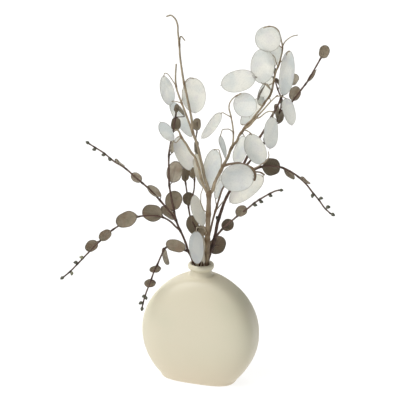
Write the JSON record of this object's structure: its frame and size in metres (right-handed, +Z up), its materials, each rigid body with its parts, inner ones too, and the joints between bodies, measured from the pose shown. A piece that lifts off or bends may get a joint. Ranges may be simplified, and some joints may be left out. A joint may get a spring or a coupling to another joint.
{
  "type": "vase of dried honesty",
  "caption": "Flattened round ceramic vase with a short rolled-lip neck, holding dried honesty stems with flat papery seed pods and sprays of dried round-leaved eucalyptus.",
  "frame": {"origin": "centre of the vase's flat base, on the surface that it stands on", "axes": "+Z up along the neck, +X along the vase's wide side, -Y out of the broad face at the front"},
  "size_m": [0.3787, 0.2401, 0.5615],
  "materials": {
    "vase_ceramic": "matte ivory, with a very soft sheen",
    "dried_honesty": "papery and pearly pods on dull tan stems",
    "dried_eucalyptus": "dull taupe leaves on dark brown stems"
  },
  "bodies": {
    "root": {"vase": "vase_ceramic", "honesty_main": "dried_honesty", "honesty_back": "dried_honesty", "eucalyptus_left": "dried_eucalyptus", "eucalyptus_middle": "dried_eucalyptus", "eucalyptus_right": "dried_eucalyptus"}
  },
  "joints": []
}
